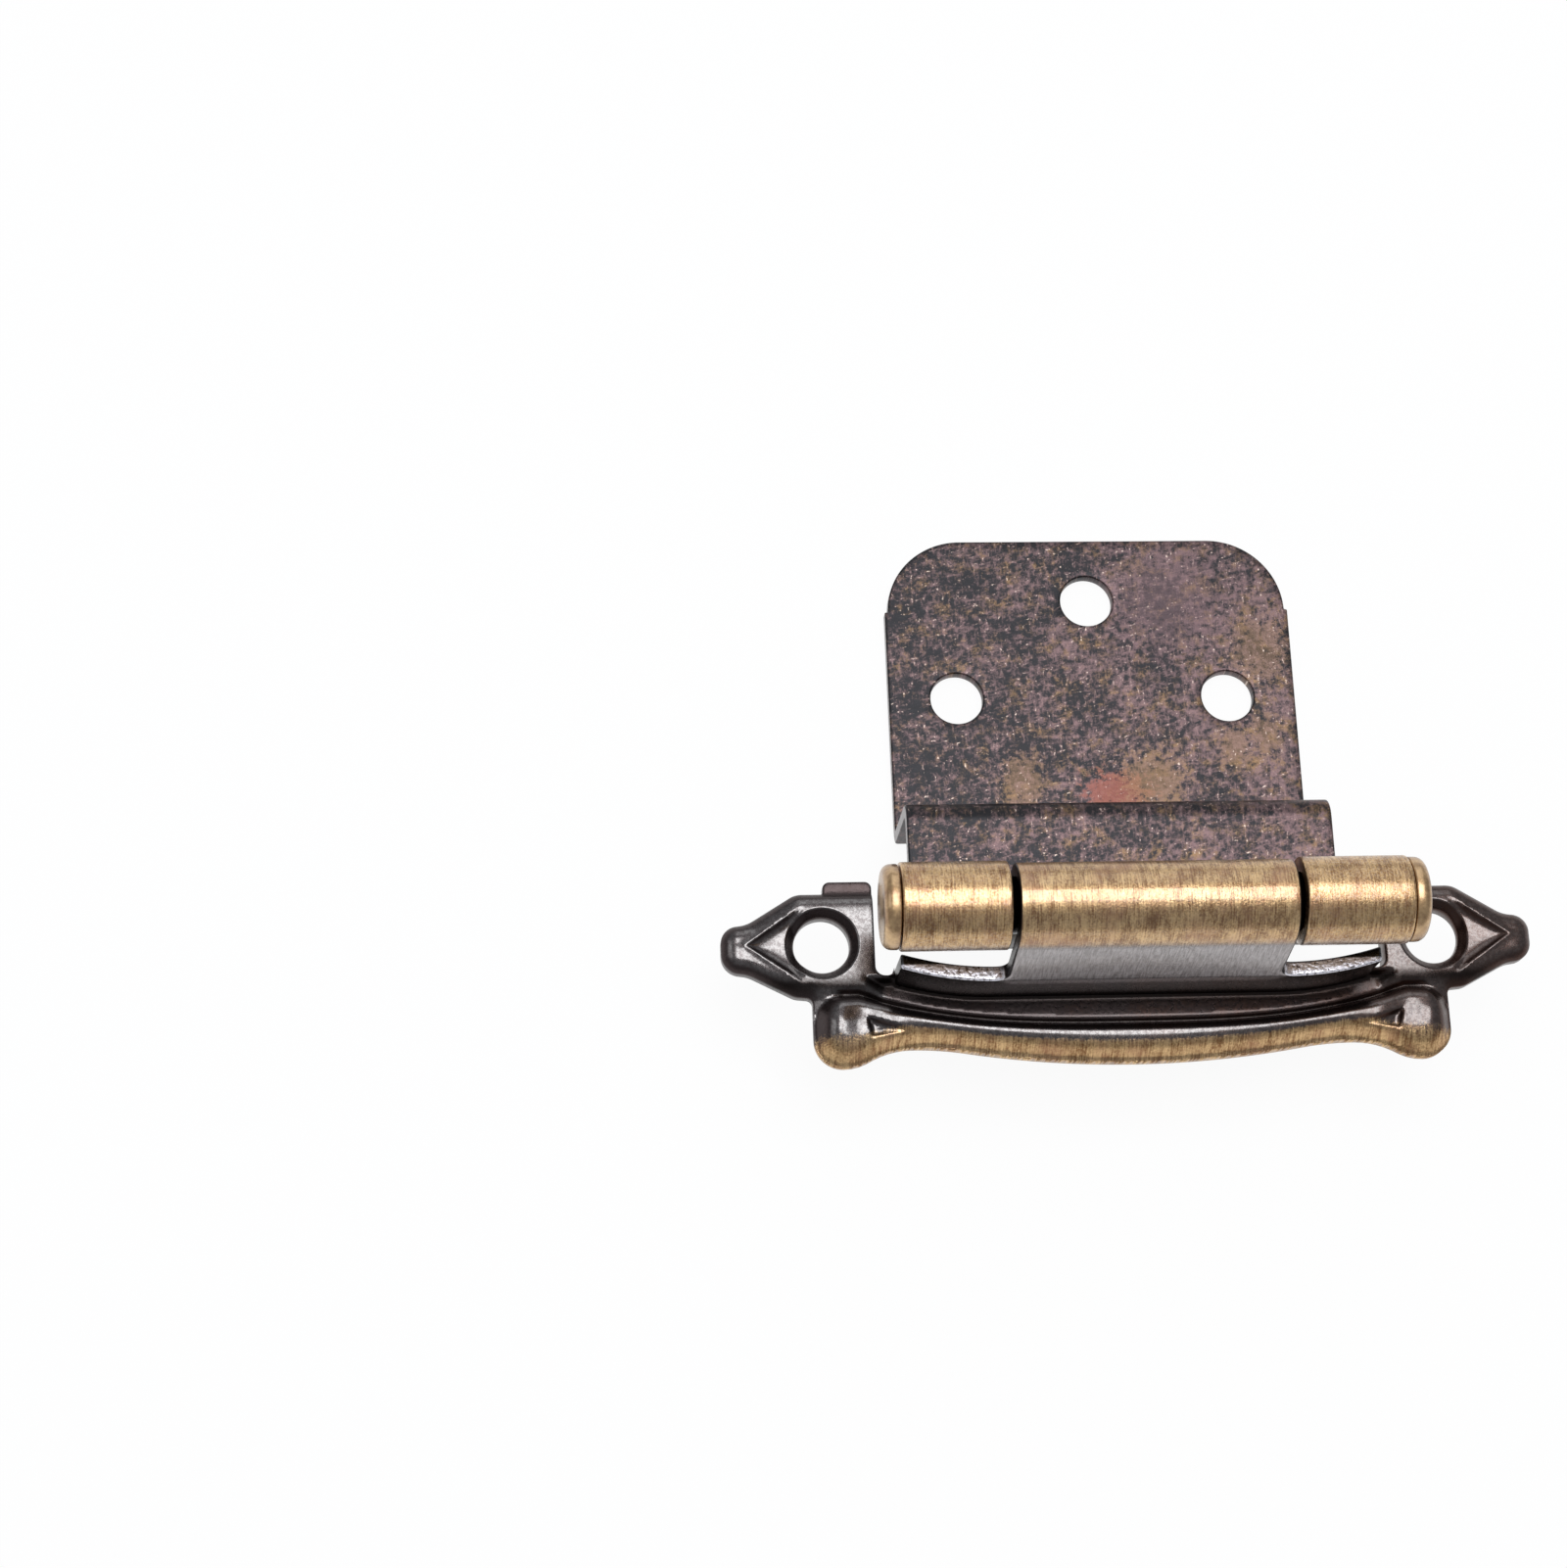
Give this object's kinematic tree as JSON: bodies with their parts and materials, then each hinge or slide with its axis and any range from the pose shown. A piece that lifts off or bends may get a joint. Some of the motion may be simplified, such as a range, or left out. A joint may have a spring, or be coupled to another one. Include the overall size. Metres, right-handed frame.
{
  "type": "self-closing inset hinge",
  "caption": "Self-closing cabinet hinge for a lipped inset door: a decorative frame leaf, an offset door leaf and a barrel with a spring-pressed cam follower.",
  "frame": {"origin": "midway between the frame leaf's two screw holes, on the leaf's back", "axes": "+X along the barrel, +Y towards the door, +Z out of the cabinet's face"},
  "size_m": [0.0716, 0.0523, 0.0267],
  "materials": {
    "antique_brass_leaf": "antique brass plating, brushed on the barrel and the bar, dark elsewhere",
    "bronzed_steel_leaf": "mottled dark bronze plating",
    "antique_brass_pin": "antique brass plating",
    "moulded_follower": "satin olive brown moulding",
    "spring_steel": "dark spring steel"
  },
  "bodies": {
    "frame": {"frame_leaf": "antique_brass_leaf"},
    "door": {"door_leaf": "bronzed_steel_leaf", "hinge_pin": "antique_brass_pin", "pin_cap": "antique_brass_pin", "leaf_spring": "spring_steel"},
    "follower": {"follower": "moulded_follower"}
  },
  "joints": [
    {"name": "door_swing", "type": "hinge", "parent": "frame", "child": "door", "pos_m": [0, 0, 0.0135], "axis": [1, 0, 0], "range_deg": [0, 180], "stiffness_Nm_per_rad": 0.05, "springref_deg": -34.38},
    {"name": "follower_slide", "type": "slide", "parent": "door", "child": "follower", "axis": [0, 0, -1], "range_m": [0, 0.00045], "deforming": ["leaf_spring"]}
  ],
  "couplings": [
    {"joint": "follower_slide", "follows": "door_swing", "m_per_rad": 0.000143}
  ]
}
